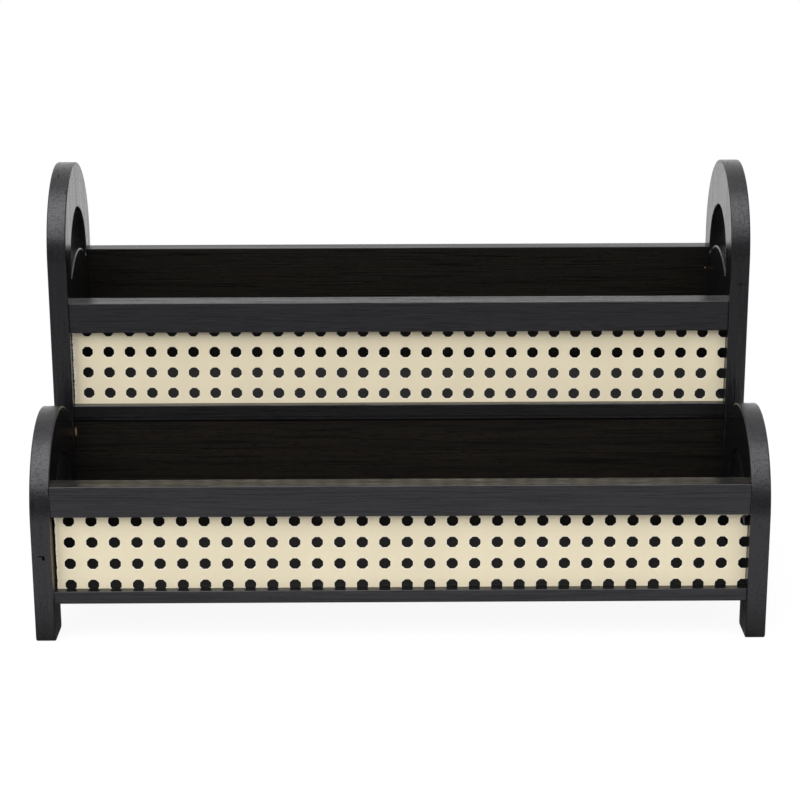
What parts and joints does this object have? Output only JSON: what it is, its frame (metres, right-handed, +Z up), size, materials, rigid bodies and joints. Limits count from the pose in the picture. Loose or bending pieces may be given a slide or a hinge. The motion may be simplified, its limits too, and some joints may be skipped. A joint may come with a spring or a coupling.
{
  "type": "makeup organizer",
  "caption": "Open two-tier desktop organizer of black painted wood, with arched side boards, crescent hand holes and perforated cane-look front sheets.",
  "frame": {"origin": "on the ground under the middle of the organizer's outer box", "axes": "+Z up, +X to the right as seen from the front, the front faces -Y"},
  "size_m": [0.42, 0.208, 0.251],
  "materials": {
    "black_painted_wood": "black semi-gloss paint over open-grain wood",
    "cane_sheet": "cream sheet with a fine pressed grain",
    "stained_panel": "brown-black stain, fine horizontal grain",
    "dowel_wood": "bare turned wood",
    "brad_steel": "bright steel"
  },
  "bodies": {
    "root": {"front_left_side": "black_painted_wood", "front_right_side": "black_painted_wood", "rear_left_side": "black_painted_wood", "rear_right_side": "black_painted_wood", "front_top_rail": "black_painted_wood", "rear_top_rail": "black_painted_wood", "front_floor_board": "black_painted_wood", "rear_floor_board": "black_painted_wood", "front_cane_panel": "cane_sheet", "rear_cane_panel": "cane_sheet", "front_back_panel": "stained_panel", "rear_back_panel": "stained_panel", "front_rail_dowels": "dowel_wood", "rear_rail_dowels": "dowel_wood", "front_floor_dowels": "dowel_wood", "rear_floor_dowels": "dowel_wood", "rear_back_dowels": "dowel_wood", "left_tier_dowels": "dowel_wood", "right_tier_dowels": "dowel_wood", "front_back_brads": "brad_steel"}
  },
  "joints": []
}
